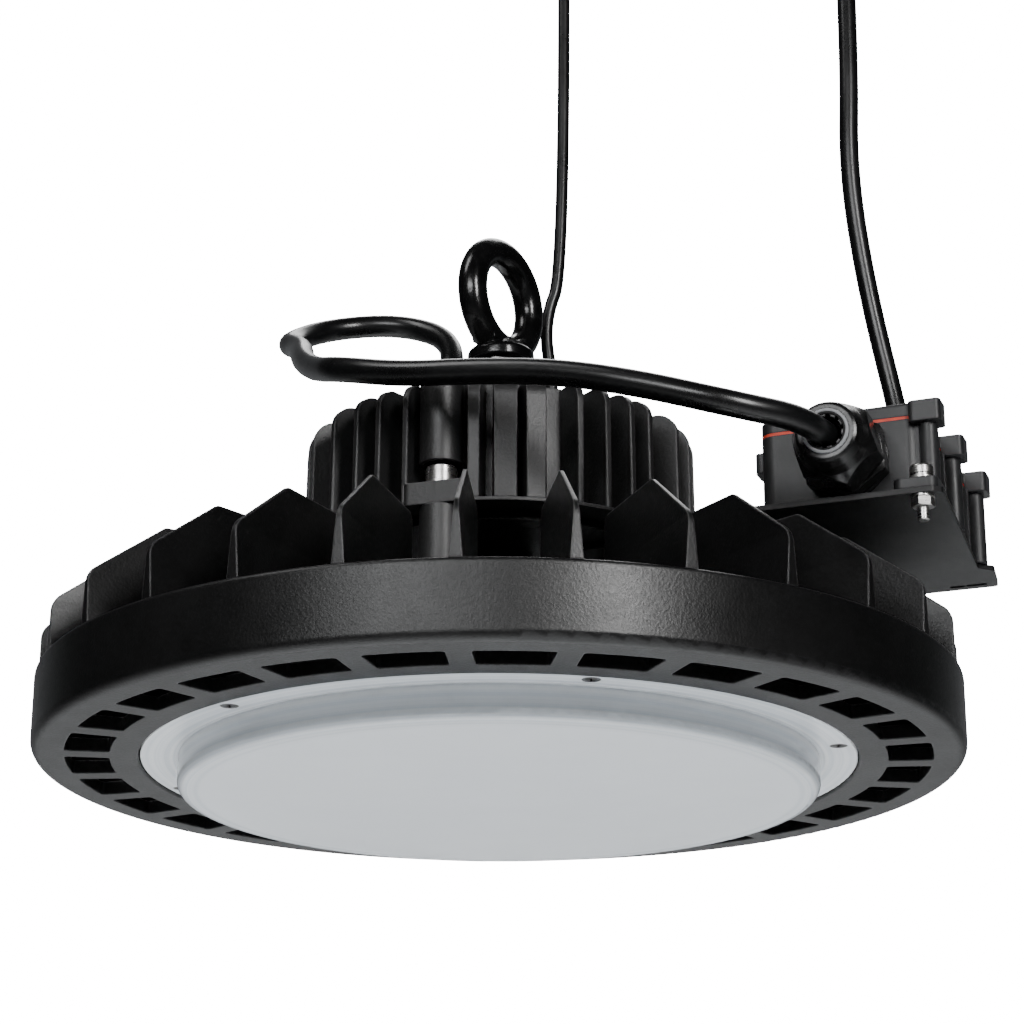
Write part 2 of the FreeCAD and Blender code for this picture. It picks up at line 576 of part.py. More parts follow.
shank = shank.makeChamfer(0.9, [e for e in shank.Edges if isinstance(e.Curve, Part.Circle) and e.CenterOfMass.z < 118])
add("eye_bolt", single(fuse([ring, collar, neck, shank])))
nut_z0 = BOSS_TOP + EYE_WASHER_T
nut_h = EYE_COLLAR_Z0 - nut_z0
en = hex_chamfered(EYE_NUT_AF, nut_h, nut_z0, 12.0).cut(cyl(EYE_SHANK_R, 20.0, V(0, 0, nut_z0 - 2)))
add("eye_nut", single(en))
ew = tube(EYE_WASHER_R, EYE_SHANK_R + 0.5, EYE_WASHER_T, V(0, 0, BOSS_TOP))
ew = ew.makeFillet(0.4, [e for e in ew.Edges if isinstance(e.Curve, Part.Circle) and e.Curve.Radius > 14])
add("eye_washer", single(ew))


# ---------------------------------------------------------------------------
# Cable glands: body with spigot and locknut seat, seal, dome nut
# ---------------------------------------------------------------------------
def gland(af, body_h, hex_h, dome_h, mouth_r, seal_step_r, cable_r, spigot_r, spigot_len, turn, recess=4.0):
    """Shapes drawn along +Z from the face that the gland sits on."""
    rc = af / math.sqrt(3.0)
    body = hex_chamfered(af, body_h, 0.0, turn)
    flange = revolve([(0, 0), (af / 2.0 * 1.04, 0), (af / 2.0 * 1.04, 1.6), (0, 1.6)])
    neck_r = af / 2.0 * 0.80
    neck = cyl(neck_r, body_h + hex_h * 0.75)
    spig = cyl(spigot_r, spigot_len + 0.5, V(0, 0, -spigot_len))
    body = body.fuse(flange).fuse(neck).fuse(spig)
    depth = hex_h + dome_h
    z_top = body_h + 0.5 + depth
    seal_z0 = body_h + hex_h * 0.75
    body = body.cut(cyl(cable_r + 0.6, 200.0, V(0, 0, -100.0)))
    z0 = body_h + 0.5
    nut = hexagon(af * 0.965, hex_h + dome_h, z0, turn + 8.0)
    rcn = af * 0.965 / math.sqrt(3.0)
    prof = revolve([(0, z0), (rcn * 0.93, z0), (rcn + 0.1, z0 + 1.2), (rcn + 0.1, z0 + hex_h * 0.85),
                    (af / 2.0 * 0.93, z0 + hex_h + dome_h * 0.25), (af / 2.0 * 0.86, z0 + hex_h + dome_h * 0.62),
                    (mouth_r + 2.6, z_top - 0.6), (mouth_r + 1.6, z_top), (0, z_top)])
    nut = nut.common(prof)
    nut = nut.cut(cyl(neck_r, seal_z0 - z0, V(0, 0, z0)))
    nut = nut.cut(cyl(mouth_r, 100.0, V(0, 0, seal_z0 - 0.001)))
    seal = revolve([(cable_r, seal_z0), (mouth_r, seal_z0), (mouth_r, z_top + 0.3), (mouth_r - 0.5, z_top + 0.6),
                    (seal_step_r, z_top + 0.2), (seal_step_r - 0.3, z_top - recess), (cable_r, z_top - recess - 0.8)])
    return single(body.removeSplitter()), single(nut), single(seal), z_top + 0.6


def locknut(af, h, bore, gap):
    s = hex_chamfered(af, h, -gap - h, 5.0).cut(cyl(bore, 40.0, V(0, 0, -30)))
    return single(s)


# driver lead gland and control cable gland, on the roof of the housing
body, nut, seal, top = gland(19.0, 6.0, 8.0, 8.5, 6.9, 5.6, LEAD_D / 2.0, 7.5, 9.0, 10.0, 2.5)
at = V(LEAD_TOP[0], LEAD_TOP[1], HOUSE_Z1)
up = V(0, 0, 1)
LEAD_MOUTH_Z = HOUSE_Z1 + top
add("lead_gland_body", place(body, at, up))
add("lead_gland_nut", place(nut, at, up))
add("lead_gland_seal", place(seal, at, up))
body, nut, seal, top = gland(14.0, 5.0, 6.0, 6.5, 4.6, 3.4, CONTROL_D / 2.0, 5.5, 8.0, 25.0, 2.0)
at = V(CONTROL_TOP[0], CONTROL_TOP[1], HOUSE_Z1)
CONTROL_MOUTH_Z = HOUSE_Z1 + top
add("control_gland_body", place(body, at, up))
add("control_gland_nut", place(nut, at, up))
add("control_gland_seal", place(seal, at, up))

# the two glands of the junction box, one on each end wall
v_axis = uv(0, 1)
body, nut, seal, top = gland(27.5, 8.0, 11.0, 11.0, 7.9, 6.2, LEAD_D / 2.0, 10.0, 8.5, 14.0, 4.5)
BOX_GLAND_LEN = top
near_at = uv(GLAND_U, BOX_V0, GLAND_Z)
near_axis = v_axis * -1.0
add("box_gland_body", place(body, near_at, near_axis))
add("box_gland_nut", place(nut, near_at, near_axis))
add("box_gland_seal", place(seal, near_at, near_axis))
lock_a = place(locknut(22.6, 4.5, 10.0, BOX_WALL), near_at, near_axis)
body, nut, seal, top = gland(27.5, 8.0, 11.0, 11.0, 7.9, 6.2, SUPPLY_D / 2.0, 10.0, 8.5, 0.0, 4.5)
far_at = uv(GLAND_U, BOX_V1, GLAND_Z)
add("supply_gland_body", place(body, far_at, v_axis))
add("supply_gland_nut", place(nut, far_at, v_axis))
add("supply_gland_seal", place(seal, far_at, v_axis))
lock_b = place(locknut(22.6, 4.5, 10.0, BOX_WALL), far_at, v_axis)
add("gland_locknuts", group([lock_a, lock_b]))


# ---------------------------------------------------------------------------
# Bracket: flat plate with an arm that is screwed under the driver's base plate
# ---------------------------------------------------------------------------
pz0 = BASE_Z0 - PLATE_T
outline = [(36.0, -18.0), (92.0, -18.0), (99.0, -36.8), (168.0, -36.8), (171.0, -33.8), (165.2, 52.0), (170.2, 57.0),
           (168.0, 76.0), (104.0, 76.0), (99.0, 71.0), (99.0, 52.0), (92.0, 27.0), (36.0, 27.0)]
pts = [V(x, y, pz0) for x, y in outline]
plate = Part.Face(Part.makePolygon(pts + [pts[0]])).extrude(V(0, 0, PLATE_T))
upr = [e for e in plate.Edges if abs(e.Vertexes[0].Z - e.Vertexes[1].Z) > 1.0]
plate = plate.makeFillet(2.0, upr)
BOLT_UV = ((163.8, -32.4), (103.5, 62.5))
cuts = [cyl(2.2, 10.0, V(x, y, pz0 - 3.0)) for x, y in arm_screw_uv + BOLT_UV]
for x0, x1, y in ((152.0, 155.5, 71.5), (158.0, 163.5, 71.5)):
    cuts.append(block(x0, x1, y - 1.2, y + 1.2, pz0 - 3, pz0 + 5))
    cuts.append(cyl(1.2, 10.0, V(x0, y, pz0 - 3)))
    cuts.append(cyl(1.2, 10.0, V(x1, y, pz0 - 3)))
# clearance around the post that stands beside the arm
plate = plate.cut(Part.makeCompound(cuts))
add("box_bracket", single(to_box(plate)))
arm_screws = []
for u_, v_ in arm_screw_uv:
    s = cyl(3.6, 2.3, V(u_, v_, pz0 - 2.3))
    s = s.makeFillet(0.9, [e for e in s.Edges if isinstance(e.Curve, Part.Circle) and e.CenterOfMass.z < pz0 - 2])
    s = s.fuse(cyl(2.0, 6.0, V(u_, v_, pz0 - 0.5)))
    s = s.cut(block(u_ - 2.0, u_ + 2.0, v_ - 0.4, v_ + 0.4, pz0 - 3.0, pz0 - 1.2))
    s = s.cut(block(u_ - 0.4, u_ + 0.4, v_ - 2.0, v_ + 2.0, pz0 - 3.0, pz0 - 1.2))
    arm_screws.append(single(to_box(s)))
add("bracket_screws", group(arm_screws))


# ---------------------------------------------------------------------------
# Junction box: base, gasket, lid, screws
# ---------------------------------------------------------------------------
LOBES = ((165.2, -24.0), (165.2, 13.5), (165.2, 53.6), (101.8, 8.0), (101.8, 36.0))
LOBE_R = 3.3
FOOT_T = 3.6


def make_box_base():
    b = round_block(BOX_U0, BOX_U1, BOX_V0, BOX_V1, BOX_Z0, BOX_BASE_Z1, BOX_CORNER)
    cols = []
    for x, y in LOBES:
        cols.append(cyl(LOBE_R, BOX_BASE_Z1 - BOX_Z0 - 2.0, V(x, y, BOX_Z0)))
        xa, xb = (BOX_U1 - 2.0, x) if x > 130 else (x, BOX_U0 + 2.0)
        cols.append(block(xa, xb, y - 1.4, y + 1.4, BOX_Z0, BOX_BASE_Z1 - 2.0))
    # upright ribs on the outer side wall
    for y in (-14.0, -5.0, 4.0, 23.5, 33.5, 43.5):
        cols.append(block(BOX_U1 - 1.0, BOX_U1 + 2.2, y - 1.0, y + 1.0, BOX_Z0, BOX_BASE_Z1 - 3.0))
    # mounting feet at two opposite corners
    feet = [block(154.5, 169.5, -36.6, -22.0, BOX_Z0, BOX_Z0 + FOOT_T), block(99.0, 112.0, 50.0, 67.0, BOX_Z0, BOX_Z0 + FOOT_T)]
    feet = [f.makeFillet(3.0, [e for e in f.Edges if abs(e.Vertexes[0].Z - e.Vertexes[1].Z) > FOOT_T * 0.9]) for f in feet]
    out = b.multiFuse(cols + feet)
    hollow = round_block(BOX_U0 + BOX_WALL, BOX_U1 - BOX_WALL, BOX_V0 + BOX_WALL, BOX_V1 - BOX_WALL,
                         BOX_Z0 + BOX_WALL, BOX_BASE_Z1 + 5.0, BOX_CORNER - BOX_WALL + 0.6)
    out = out.cut(hollow)
    cuts = [cyl(1.5, 16.0, V(x, y, BOX_BASE_Z1 - 2.0 - 14.0)) for x, y in LOBES]
    cuts += [cyl(2.2, 10.0, V(x, y, BOX_Z0 - 2.0)) for x, y in BOLT_UV]
    cuts += [cyl(10.0, 12.0, V(GLAND_U, BOX_V0 - 4.0, GLAND_Z), V(0, 1, 0)),
             cyl(10.0, 12.0, V(GLAND_U, BOX_V1 - 8.0, GLAND_Z), V(0, 1, 0))]
    out = out.cut(Part.makeCompound(cuts))
    return single(out)


def make_lid():
    z0 = BOX_BASE_Z1 + BOX_GASKET_T
    b = round_block(BOX_U0, BOX_U1, BOX_V0, BOX_V1, z0, BOX_LID_Z1, BOX_CORNER)
    top = [e for e in b.Edges if min(v.Z for v in e.Vertexes) > BOX_LID_Z1 - 0.01]
    b = b.makeFillet(1.2, top)
    lobes = []
    for x, y in LOBES:
        s = 1.0 if x > 130 else -1.0
        x0, x1 = (x - 6.0, x + 5.2) if s > 0 else (x - 5.2, x + 6.0)
        lb = block(x0, x1, y - 5.2, y + 5.2, BOX_BASE_Z1 - 2.0, BOX_LID_Z1 - 0.6)
        lb = lb.makeFillet(2.0, [e for e in lb.Edges if abs(e.Vertexes[0].Z - e.Vertexes[1].Z) > 3.0])
        lobes.append(lb)
    out = b.multiFuse(lobes)
    # the lobes reach down beside the base wall, so the base and its gasket are cut clear of them
    clear = round_block(BOX_U0 - 0.15, BOX_U1 + 0.15, BOX_V0 - 0.15, BOX_V1 + 0.15, BOX_BASE_Z1 - 4.0, z0, BOX_CORNER)
    out = out.cut(clear)
    inner = round_block(BOX_U0 + BOX_WALL, BOX_U1 - BOX_WALL, BOX_V0 + BOX_WALL, BOX_V1 - BOX_WALL, z0 - 1.0,
                        BOX_LID_Z1 - 2.4, BOX_CORNER - BOX_WALL + 0.6)
    out = out.cut(inner)
    holes = [cyl(1.7, 20.0, V(x, y, BOX_BASE_Z1 - 5.0)) for x, y in LOBES]
    holes += [cyl(3.4, 5.0, V(x, y, BOX_LID_Z1 - 3.2)) for x, y in LOBES]
    out = out.cut(Part.makeCompound(holes))
    return single(out)


base = make_box_base()
# the columns stop under the lid's lobes
add("box_base", single(to_box(base)))
lid = make_lid()
add("box_lid", single(to_box(lid)))
g = round_block(BOX_U0 + 0.1, BOX_U1 - 0.1, BOX_V0 + 0.1, BOX_V1 - 0.1, BOX_BASE_Z1, BOX_BASE_Z1 + BOX_GASKET_T, BOX_CORNER - 0.1)
g = g.cut(round_block(BOX_U0 + BOX_WALL, BOX_U1 - BOX_WALL, BOX_V0 + BOX_WALL, BOX_V1 - BOX_WALL, BOX_BASE_Z1 - 1.0,
                      BOX_BASE_Z1 + 3.0, BOX_CORNER - BOX_WALL + 0.6))
add("box_gasket", single(to_box(g)))
ls = []
for x, y in LOBES:
    zt = BOX_LID_Z1 - 3.2
    s = cyl(2.9, 2.0, V(x, y, zt)).fuse(cyl(1.5, 15.0, V(x, y, zt - 14.5)))
    s = s.cut(block(x - 1.8, x + 1.8, y - 0.35, y + 0.35, zt + 1.0, zt + 3.0)).cut(
        block(x - 0.35, x + 0.35, y - 1.8, y + 1.8, zt + 1.0, zt + 3.0))
    ls.append(single(to_box(s)))
add("lid_screws", group(ls))

# fixings of the box: screw, two washers, plain nut with its washer below the plate
bb, bw, bn = [], [], []
foot_top = BOX_Z0 + FOOT_T
for x, y in BOLT_UV:
    w1 = tube(4.4, 2.15, 0.8, V(x, y, foot_top))
    w2 = tube(3.7, 2.15, 1.0, V(x, y, foot_top + 0.8)).cut(block(x, x + 6, y - 0.3, y + 0.3, foot_top + 0.7, foot_top + 2.0))
    w3 = tube(4.0, 2.15, 0.8, V(x, y, pz0 - 0.8))
    bw += [single(to_box(w1)), single(to_box(w2)), single(to_box(w3))]
    zt = foot_top + 1.8
    head = cyl(4.0, 3.4, V(x, y, zt))
    head = head.makeFillet(1.1, [e for e in head.Edges if isinstance(e.Curve, Part.Circle) and e.CenterOfMass.z > zt + 3])
    sock = hexagon(2.5, 4.0)
    sock.translate(V(x, y, zt + 1.4))
    sh = cyl(2.0, zt - (pz0 - 8.6) + 0.5, V(x, y, pz0 - 8.6))
    sh = sh.makeChamfer(0.4, [e for e in sh.Edges if isinstance(e.Curve, Part.Circle) and e.CenterOfMass.z < pz0 - 8])
    bb.append(single(to_box(head.fuse(sh).cut(sock))))
    n = hex_chamfered(7.0, 3.2, pz0 - 0.8 - 3.2, 20.0)
    n.translate(V(x, y, 0))
    n = n.cut(cyl(2.0, 20.0, V(x, y, pz0 - 12.0)))
    bn.append(single(to_box(n)))
add("box_bolts", group(bb))
add("box_washers", group(bw))
add("box_nuts", group(bn))

# terminal block on the floor of the box
tb = block(GLAND_U - 12.0, GLAND_U + 12.0, 4.0, 26.0, BOX_Z0 + BOX_WALL, BOX_Z0 + BOX_WALL + 13.0)
for k in (-1, 0, 1):
    x = GLAND_U + 7.4 * k
    tb = tb.cut(cyl(1.6, 40.0, V(x, -5.0, BOX_Z0 + BOX_WALL + 5.0), V(0, 1, 0)))
    for y in (9.0, 21.0):
        tb = tb.cut(cyl(2.1, 9.0, V(x, y, BOX_Z0 + BOX_WALL + 7.0)))
    if k < 1:
        tb = tb.cut(block(x + 3.4, x + 4.0, 3.0, 27.0, BOX_Z0 + BOX_WALL + 9.0, BOX_Z0 + BOX_WALL + 14.0))
add("terminal_block", single(to_box(tb)))


# ---------------------------------------------------------------------------
# Cords: straight runs joined by tangent arcs
# ---------------------------------------------------------------------------
def cord_path(points, name):
    """Wire of straight runs and tangent arcs through the corners of a route."""
    P = [V(*p) for p in points]
    runs = [(P[i + 1] - P[i]).Length for i in range(len(P) - 1)]
    edges, start, radii, turns = [], P[0], [], []
    for i in range(1, len(P) - 1):
        a = (P[i] - P[i - 1]).normalize()
        b = (P[i + 1] - P[i]).normalize()
        ang = a.getAngle(b)
        cutback = 0.45 * min(runs[i - 1], runs[i])
        radius = cutback / math.tan(ang / 2.0)
        radii.append(radius)
        turns.append(math.degrees(ang))
        t1 = P[i] - a * cutback
        t2 = P[i] + b * cutback
        # middle of the arc lies on the bisector
        bis = (b - a).normalize()
        mid = P[i] + bis * (radius / math.cos(ang / 2.0) - radius)
        edges.append(Part.LineSegment(start, t1).toShape())
        edges.append(Part.Arc(t1, mid, t2).toShape())
        start = t2
    edges.append(Part.LineSegment(start, P[-1]).toShape())
    print("%s runs  %s" % (name, " ".join("%.0f" % r for r in runs)))
    print("%s turns %s" % (name, " ".join("%.0f" % t for t in turns)))
    print("%s radii %s  smallest %.1f mm" % (name, " ".join("%.0f" % r for r in radii), min(radii)))
    return Part.Wire(edges)


def cord(points, dia, name):
    wire = cord_path(points, name)
    d = (V(*points[1]) - V(*points[0])).normalize()
    circle = Part.Wire([Part.Circle(V(*points[0]), d, dia / 2.0).toShape()])
    solid = wire.makePipeShell([circle], True, False)
    want = math.pi * dia * dia / 4.0 * wire.Length
    print("%s length %.1f mm, volume %.0f mm3, section x length %.0f mm3, valid %s" % (
        name, wire.Length, solid.Volume, want, solid.isValid()))
    return solid


def from_uv(u_, v_, z):
    p = uv(u_, v_, z)
    return (p.x, p.y, p.z)


LEAD_ROUTE = [
    (LEAD_TOP[0], LEAD_TOP[1], 136.0),
    (LEAD_TOP[0], LEAD_TOP[1], 162.0),
    (-18.6, 53.9, 188.4),
    (-40.7, 69.9, 202.0),
    (-70.8, 66.6, 198.1),
    (-85.7, 45.1, 182.5),
    (-76.3, 17.7, 169.6),
    (-74.1, -7.9, 154.0),
    (-67.0, -33.9, 139.6),
    (-56.8, -61.3, 128.8),
    (-33.8, -78.2, 120.1),
    (-7.6, -92.5, 115.7),
    (19.0, -105.2, 110.3),
    (45.1, -117.0, 101.6),
    (73.8, -124.0, 92.0),
    from_uv(GLAND_U, -66.0, GLAND_Z),
    from_uv(GLAND_U, -38.0, GLAND_Z),
]
CONTROL_ROUTE = [
    (CONTROL_TOP[0], CONTROL_TOP[1], 134.0),
    (CONTROL_TOP[0], CONTROL_TOP[1], 158.0),
    (16.4, 25.0, 183.5),
    (25.0, 25.0, 207.0),
    (25.0, 25.0, CEILING_Z - 12.0),
]
SUPPLY_ROUTE = [
    from_uv(GLAND_U, 64.0, GLAND_Z),
    from_uv(GLAND_U, 102.0, GLAND_Z),
    (167.7, 71.1, 118.1),
    (161.9, 80.4, 166.1),
    (151.0, 78.2, 220.9),
    (144.3, 72.7, 272.5),
    (146.4, 70.0, 320.0),
    (146.4, 70.0, CEILING_Z - 14.0),
]
add("driver_lead", cord(LEAD_ROUTE, LEAD_D, "driver_lead"))
add("control_cable", cord(CONTROL_ROUTE, CONTROL_D, "control_cable"))
add("supply_cable", cord(SUPPLY_ROUTE, SUPPLY_D, "supply_cable"))


# ceiling fittings: a cord grip screwed into a round plate
def ceiling_fitting(x, y, cable_r, plate_r, af, name):
    zp = CEILING_Z - 4.0
    plate = revolve([(af * 0.36, zp), (plate_r - 1.0, zp), (plate_r, zp + 1.0), (plate_r, CEILING_Z), (af * 0.36, CEILING_Z)])
    hs = [cyl(2.2, 10.0, V(s * plate_r * 0.70, 0, zp - 2.0)) for s in (-1, 1)]
    plate = plate.cut(Part.makeCompound(hs))
    plate.translate(V(x, y, 0))
    grip = revolve([(cable_r, zp - 18.0), (cable_r + 2.2, zp - 18.0), (af / 2 * 0.9, zp - 10.0), (af / 2, zp - 9.0),
                    (af / 2, zp), (af * 0.36, zp), (af * 0.36, CEILING_Z - 0.5), (cable_r, CEILING_Z - 0.5)])
    g2 = revolve([(0, zp - 20.0), (cable_r + 2.3, zp - 20.0), (cable_r + 2.3, zp - 17.0), (af / 2 * 0.95, zp - 9.2),
                  (af, zp - 9.0), (af, CEILING_Z), (0, CEILING_Z)])
    hx = hexagon(af * 0.97, 9.0, zp - 9.0, 0.0)
    low = revolve([(0, zp - 18.0), (cable_r + 2.2, zp - 18.0), (af / 2 * 0.9, zp - 9.0), (0, zp - 9.0)])
    thr = cyl(af * 0.36, 3.5, V(0, 0, zp))
    grip = low.fuse(hx).fuse(thr).cut(cyl(cable_r, 60.0, V(0, 0, zp - 30.0)))
    grip = single(grip)
    grip.translate(V(x, y, 0))
    add(name + "_ceiling_plate", single(plate))
    add(name + "_ceiling_grip", grip)


ceiling_fitting(SUPPLY_ROUTE[-1][0], SUPPLY_ROUTE[-1][1], SUPPLY_D / 2.0, 24.0, 20.0, "supply")
ceiling_fitting(CONTROL_ROUTE[-1][0], CONTROL_ROUTE[-1][1], CONTROL_D / 2.0, 19.0, 15.0, "control")


# ---------------------------------------------------------------------------
# Lower everything so that the eye's centre is the origin, and write the parts
# ---------------------------------------------------------------------------
for name, shape in NODES.items():
    shape.translate(V(0, 0, -EYE_Z))
    solids = shape.Solids
    bad = [i for i, s in enumerate(solids) if not s.isValid()]
    if bad or not solids:
        print("CHECK %s: %d solids, invalid %s" % (name, len(solids), bad))
    shape.exportStep("parts/%s.step" % name)
print("%d nodes" % len(NODES))
for rname, route in (("lead", LEAD_ROUTE), ("control", CONTROL_ROUTE), ("supply", SUPPLY_ROUTE)):
    print(rname, "route in metres:", [(round(p[0] / 1000, 5), round(p[1] / 1000, 5), round((p[2] - EYE_Z) / 1000, 5)) for p in route])
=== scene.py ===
import json
import math

import bmesh
import bpy
from mathutils import Matrix, Quaternion, Vector

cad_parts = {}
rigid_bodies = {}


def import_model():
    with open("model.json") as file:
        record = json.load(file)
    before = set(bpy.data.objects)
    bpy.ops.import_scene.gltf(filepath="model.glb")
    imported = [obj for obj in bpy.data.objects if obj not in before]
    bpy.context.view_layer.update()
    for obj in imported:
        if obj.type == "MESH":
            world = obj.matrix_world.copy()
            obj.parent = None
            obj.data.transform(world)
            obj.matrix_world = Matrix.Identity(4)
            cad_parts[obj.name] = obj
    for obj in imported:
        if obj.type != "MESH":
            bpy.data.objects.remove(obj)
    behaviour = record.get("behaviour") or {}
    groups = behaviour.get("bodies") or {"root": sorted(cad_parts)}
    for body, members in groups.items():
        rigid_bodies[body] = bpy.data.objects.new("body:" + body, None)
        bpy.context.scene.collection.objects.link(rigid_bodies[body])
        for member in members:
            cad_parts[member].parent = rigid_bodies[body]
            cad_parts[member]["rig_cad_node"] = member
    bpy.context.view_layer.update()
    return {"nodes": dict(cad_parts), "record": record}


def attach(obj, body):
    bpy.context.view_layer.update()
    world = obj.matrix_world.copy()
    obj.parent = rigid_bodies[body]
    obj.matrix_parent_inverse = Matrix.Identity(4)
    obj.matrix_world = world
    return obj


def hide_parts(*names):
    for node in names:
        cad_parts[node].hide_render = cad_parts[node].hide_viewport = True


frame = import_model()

# ---------------------------------------------------------------------------
# Everything is in metres in the row frame: origin at the centre of the eye,
# Z up, -Y towards the viewer. MM() takes a point drawn on the light's own axis,
# in mm from the lower face of the heat sink ring, as the CAD source does.
# ---------------------------------------------------------------------------
EYE_Z = 181.7
BOX_AZ = math.radians(-21.3)


def MM(x, y, z):
    return Vector((x, y, z - EYE_Z)) / 1000.0


def UV(u, v, z):
    c, s = math.cos(BOX_AZ), math.sin(BOX_AZ)
    return (u * c - v * s, u * s + v * c, z)


# ---------------------------------------------------------------------------
# Camera
# ---------------------------------------------------------------------------
def make_camera():
    elev = math.radians(-13.483)
    dist, f = 0.94088, 2627.2
    c = Vector((0.0, -dist * math.cos(elev), dist * math.sin(elev)))
    fwd = (-c).normalized()
    right = Vector((1.0, 0.0, 0.0))
    up = right.cross(fwd)
    fwd2 = (fwd - right * ((500.21 - 512.0) / f) + up * ((769.98 - 512.0) / f)).normalized()
    r2 = fwd2.cross(Vector((0, 0, 1))).normalized()
    u2 = r2.cross(fwd2)
    roll = 0.0029
    r3 = r2 * math.cos(roll) + u2 * math.sin(roll)
    u3 = u2 * math.cos(roll) - r2 * math.sin(roll)
    data = bpy.data.cameras.new("camera")
    cam = bpy.data.objects.new("camera", data)
    bpy.context.collection.objects.link(cam)
    rot = Matrix((r3, u3, -fwd2)).transposed()
    cam.matrix_world = Matrix.Translation(c - Vector((0, 0, EYE_Z / 1000.0))) @ rot.to_4x4()
    data.sensor_width = 36.0
    data.lens = f / 1024.0 * 36.0
    data.clip_start, data.clip_end = 0.01, 60.0
    bpy.context.scene.camera = cam
    return cam


make_camera()


# ---------------------------------------------------------------------------
# Cords: each one follows its route's points as a NURBS line
# ---------------------------------------------------------------------------
def cord_curve(name, points, dia):
    cu = bpy.data.curves.new(name, "CURVE")
    cu.dimensions = "3D"
    sp = cu.splines.new("NURBS")
    sp.points.add(len(points) - 1)
    for p, q in zip(sp.points, points):
        v = MM(*q)
        p.co = (v.x, v.y, v.z, 1.0)
        p.radius = dia / 2000.0      # the thickness is carried by the points, so the curve's box is its real one
    sp.order_u = 3
    sp.use_endpoint_u = True
    cu.resolution_u = 16
    cu.bevel_depth = 1.0
    cu.bevel_resolution = 7
    cu.use_fill_caps = True
    ob = bpy.data.objects.new(name, cu)
    bpy.context.collection.objects.link(ob)
    return ob


LEAD_ROUTE = [
    (-20.3, 36.0, 136.0), (-20.3, 36.0, 162.0), (-18.6, 53.9, 188.4), (-40.7, 69.9, 202.0),
    (-70.8, 66.6, 198.1), (-85.7, 45.1, 182.5), (-76.3, 17.7, 169.6), (-74.1, -7.9, 154.0),
    (-67.0, -33.9, 139.6), (-56.8, -61.3, 128.8), (-33.8, -78.2, 120.1), (-7.6, -92.5, 115.7),
    (19.0, -105.2, 110.3), (45.1, -117.0, 101.6), (73.8, -124.0, 92.0), UV(137.5, -66.0, 90.5), UV(137.5, -38.0, 90.5),
]
CONTROL_ROUTE = [
    (20.1, 25.0, 134.0), (20.1, 25.0, 158.0), (16.4, 25.0, 183.5), (25.0, 25.0, 207.0), (25.0, 25.0, 368.0),
]
SUPPLY_ROUTE = [
    UV(137.5, 64.0, 90.5), UV(137.5, 102.0, 90.5), (167.7, 71.1, 118.1), (161.9, 80.4, 166.1),
    (151.0, 78.2, 220.9), (144.3, 72.7, 272.5), (146.4, 70.0, 320.0), (146.4, 70.0, 366.0),
]
driver_lead = cord_curve("driver_lead_sheath", LEAD_ROUTE, 9.0)
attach(driver_lead, "root")
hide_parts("driver_lead")
control_cable = cord_curve("control_cable_sheath", CONTROL_ROUTE, 4.8)
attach(control_cable, "root")
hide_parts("control_cable")
supply_cable = cord_curve("supply_cable_sheath", SUPPLY_ROUTE, 8.0)
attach(supply_cable, "root")
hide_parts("supply_cable")


